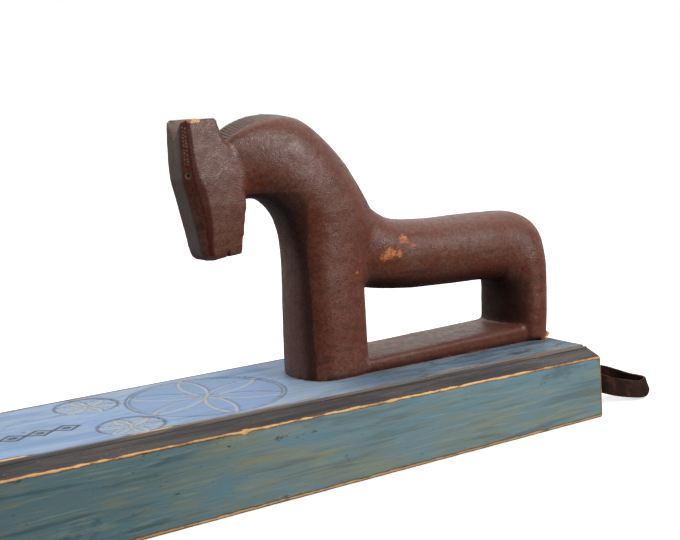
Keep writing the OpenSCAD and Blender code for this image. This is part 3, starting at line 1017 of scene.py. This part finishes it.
def make_horse():
    horse = horse_body()
    p, normal = points_of(horse), normals_of(horse)
    x, y, z = p.T
    mane = on_mane(p)
    depth, cut, rubbed = horse_details(p)
    tool = 0.16 * value_noise(p, (16, 12, 16), 11) + 0.09 * value_noise(p, (6, 6, 6), 12)
    tool += 0.05 * value_noise(p, (2.4, 2.4, 2.4), 13)
    tool *= (1 - 0.75 * mane) * smoothstep(0.5, 3, z)
    p -= normal * (depth + tool)[:, None]
    mouth = bump(x - MOUTH_X, 0.55) * (1 - smoothstep(73.4, 75.4, z))
    z += 1.7 * mouth * (z < 73.6)
    y *= 1 - 0.04 * mouth

    is_head = (x < -50) & (z > 72)
    on_plate = within(x, 18, 134) & (z < plate_top(x) + 1.5)
    # Dust on the plate's top; the same pale mark on the head's front is a painted sheen, and inside the ear
    # notch it is painted light
    dusty = on_plate * smoothstep(0.75, 0.95, normal[:, 2]) * along_line(x, [(20, 0.8), (60, 0.5), (110, 0.2)])
    front_face = is_head * smoothstep(0.75, 0.95, -normal[:, 0])
    in_notch = is_head * (z > 131.5) * smoothstep(0.3, 0.7, -np.sign(y) * normal[:, 1])
    # A painted highlight along the plate's near ridge
    ridge = on_plate * bump(np.abs(y) - PLATE_W / 2 + 2.4, 0.7) * (z > plate_top(x) - 1.6) * (x < 120)
    bare, fresh = bare_marks(p, is_head)
    mark(horse, mane=mane, cut=np.clip(np.maximum(cut, 0.9 * mouth), 0, 1),
         rubbed=np.clip(np.maximum(rubbed, 0.12 * ridge), 0, 1), redder=red_marks(p, is_head, on_plate),
         bare=bare, fresh=fresh, dusty=np.max([dusty, front_face, in_notch], axis=0),
         # Painted shade where the faces look down or into the grip, and at the foot
         grime=grime_marks(p, normal, is_head))

    # From the handle's own frame to its place on the sloping top
    c, s = math.cos(slope), math.sin(slope)
    placed = [LEG_X + x * c + z * s, y, board_t(LEG_X) - x * s + z * c]
    set_points(horse, np.stack(placed, axis=1))
    horse.data.polygons.foreach_set("use_smooth", [True] * len(horse.data.polygons))
    horse.data.materials.clear()
    horse.data.materials.append(horse_material())
    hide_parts("horse_handle")
    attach(horse, "board")


# ---------------------------------------------------------------- leather loop

# Middle line of the loop from its near end round to its far end, measured from the point
# where it bends: along, across, up, then the lean of its width along and across
LOOP_ROWS = [
    [0, -3.1, 0, 0, 0], [5, -7.6, -2.6, 0.1, 0], [10, -10.8, -5.2, 0.2, 0.1],
    [16, -12, -7.4, 0.2, 0.2], [23, -12.8, -9.4, 0.2, 0.3], [30, -13.4, -11.1, 0.2, 0.5],
    [36, -13.6, -12.1, 0.1, 0.6], [41, -12.8, -12.4, 0, 0.6], [44.4, -10.4, -12.2, -0.1, 0.4],
    [45.2, -7, -12, -0.2, 0.1], [43.2, -3, -11.3, -0.1, -0.2], [39, 1.4, -9.8, 0, -0.4],
    [33, 5.4, -7.2, 0.1, -0.3], [26, 8.2, -4.4, 0.1, -0.2], [17, 8.6, -2, 0.1, 0],
    [8, 6.2, -0.4, 0, 0], [0, 3.1, 0, 0, 0]]


def strap_section():
    """Outline of the strap across: flat faces, round edges and a creased line near each edge."""
    w, t = STRAP_W / 2, STRAP_T / 2
    crease = [(-t + 0.1, w - 0.5), (-t + 0.28, w - 1.05)]
    flat = [(-t + 0.1, y) for y in np.linspace(-w + 1.6, w - 1.6, 9)]
    half = [(x, -y) for x, y in crease] + flat + crease[::-1]
    half += [(-t * 0.6, w - 0.08), (0, w), (t * 0.6, w - 0.08)]
    return half + [(-x, -y) for x, y in half]


def make_strap():
    root = np.array([hinge_x, root_y, root_z])
    rows = smooth_rows(LOOP_ROWS, 9)
    slot_run = np.linspace(slot_x + 0.4 - hinge_x, -1.0, 22)
    near = np.array([[d, -3.1, 0, 0, 0] for d in slot_run])
    far = np.array([[d, 3.1, 0, 0, 0] for d in slot_run[::-1]])
    rows = np.vstack([near, rows, far])
    section = strap_section()
    rings = []
    for i in range(len(rows)):
        a, b, c = rows[max(i - 1, 0)], rows[min(i + 1, len(rows) - 1)], rows[i]
        along = (b - a)[:3] / np.linalg.norm((b - a)[:3])
        side = np.cross(along, [c[3], c[4], 1])
        side /= np.linalg.norm(side)
        up = np.cross(side, along)
        # Old leather draws in where it turns; its upper edge keeps its height
        narrow = 0.32 * smoothstep(36, 44.5, c[0])
        rings.append([root + c[:3] + side * x + up * (y * (1 - narrow) + narrow * STRAP_W / 2)
                      for x, y in section])
    points, faces = skin(rings)
    width = np.tile([abs(y) for _, y in section], len(rows))
    flesh = np.tile([x for x, _ in section], len(rows))
    wrinkle = 0.14 * value_noise(points, (2.2, 2.2, 6), 31)
    wrinkle += 0.08 * value_noise(points, (1.1, 1.1, 2), 32)
    inner = (points[:, 0] > tail_x + 3) * (width < STRAP_W / 2 - 0.4)
    centre = np.repeat(root + rows[:, :3], len(section), axis=0)
    points = centre + (points - centre) * (1 - 0.48 * np.abs(wrinkle) * inner)[:, None]
    strap = mesh_object("leather_strap", points, faces)
    outward(strap)
    rim = smoothstep(STRAP_W / 2 - 0.6, STRAP_W / 2, width)
    rim *= smoothstep(-0.4, 0.6, value_noise(points, 4, 33))
    face = (flesh > 0.8) * smoothstep(0.1, 0.8, value_noise(points, 3, 34))
    mark(strap, worn=np.maximum(0.6 * rim, 0.25 * face))
    strap.data.materials.append(leather_material())
    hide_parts("strap_ends", "hanging_loop")
    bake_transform(strap)


def finish_hidden_wood():
    upright = hidden_wood_material("dowel_wood", 2)
    lengthways = hidden_wood_material("wedge_wood", 0)
    woods = {"front_dowel": upright, "rear_dowel": upright, "strap_wedge": lengthways}
    for name, material in woods.items():
        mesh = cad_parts[name].data
        mesh.materials.clear()
        mesh.materials.append(material)


# ---------------------------------------------------------------- stage

def make_floor():
    half = 6000
    corners = [[-half, -half, 0], [half, -half, 0], [half, half, 0], [-half, half, 0]]
    floor = mesh_object("floor", corners, [[0, 1, 2, 3]], smooth=False)
    p = Paint("pale_floor", Emission_Color=(1, 1, 1, 1), Emission_Strength=0.3)
    tone = p.between(p.noise(3, 2, 0.5), 0.3, 0.7)
    floor.data.materials.append(p.finish(p.mix(tone, (0.93, 0.93, 0.93), (0.95, 0.95, 0.95)), 0.7))
    # It lights nothing, so that the near and lower faces stay dark, as on the photo's paper
    floor.visible_diffuse = False
    floor.visible_glossy = False


def softbox(name, place, target, size, power):
    lamp = bpy.data.lights.new(name, "AREA")
    lamp.shape = "RECTANGLE"
    lamp.size, lamp.size_y = size
    lamp.energy = power
    obj = bpy.data.objects.new(name, lamp)
    bpy.context.scene.collection.objects.link(obj)
    obj.location = place
    obj.rotation_euler = (Vector(target) - Vector(place)).to_track_quat("-Z", "Y").to_euler()


def make_light():
    """A pale room, brightest overhead and behind the board, and two softboxes."""
    world = bpy.data.worlds.new("studio")
    bpy.context.scene.world = world
    world.use_nodes = True
    tree = world.node_tree
    background = tree.nodes["Background"]
    background.inputs["Color"].default_value = (1, 1, 1, 1)
    direction = tree.nodes.new("ShaderNodeTexCoord").outputs["Generated"]

    def glow(towards, *limits):
        facing = tree.nodes.new("ShaderNodeVectorMath")
        facing.operation = "DOT_PRODUCT"
        facing.inputs[1].default_value = towards
        tree.links.new(direction, facing.inputs[0])
        return map_range(tree, facing.outputs["Value"], *limits)

    around = tree.nodes.new("ShaderNodeMath")
    around.operation = "MULTIPLY"
    tree.links.new(glow((0.55, 0.83, 0), -0.55, 0.45, 0.05, 0.85), around.inputs[0])
    tree.links.new(glow((0, 0, 1), -0.35, 0.10, 0.15, 1.0), around.inputs[1])
    total = tree.nodes.new("ShaderNodeMath")
    tree.links.new(around.outputs[0], total.inputs[0])
    tree.links.new(glow((0, 0, 1), 0.25, 0.95, 0, 0.9), total.inputs[1])
    shown = tree.nodes.new("ShaderNodeMix")
    shown.inputs[3].default_value = 1.0
    tree.links.new(tree.nodes.new("ShaderNodeLightPath").outputs["Is Camera Ray"], shown.inputs[0])
    tree.links.new(total.outputs[0], shown.inputs[2])
    tree.links.new(shown.outputs[0], background.inputs["Strength"])
    softbox("overhead", (-0.35, 0.35, 1.3), (0.05, 0, 0.05), (0.7, 0.5), 3)
    softbox("front_right", (0.55, -1.05, 0.52), (0.0, 0, 0.12), (0.45, 0.55), 12)


def make_camera():
    """The photograph's view: place, direction and lens worked out from the carved circle."""
    azimuth, elevation, roll = (math.radians(a) for a in (33.396, 8.375, -3.946))
    forward = Vector((math.cos(elevation) * math.sin(azimuth), math.cos(elevation) * math.cos(azimuth),
                      -math.sin(elevation)))
    right = forward.cross(Vector((0, 0, 1))).normalized()
    up = right.cross(forward)
    c, s = math.cos(roll), math.sin(roll)
    right, up = right * c + up * s, up * c - right * s
    camera = bpy.data.cameras.new("camera")
    camera.sensor_width = 36
    camera.lens = 66.38
    camera.clip_end = 50
    obj = bpy.data.objects.new("camera", camera)
    bpy.context.scene.collection.objects.link(obj)
    obj.matrix_world = Matrix.Translation(Vector((-235.77, -568.97, 198.44)) * MM) @ Matrix(
        (right, up, -forward)).transposed().to_4x4()
    bpy.context.scene.camera = obj


make_camera()
make_light()
make_floor()
make_board()
make_horse()
make_strap()
finish_hidden_wood()
bpy.context.scene.view_settings.view_transform = "Standard"
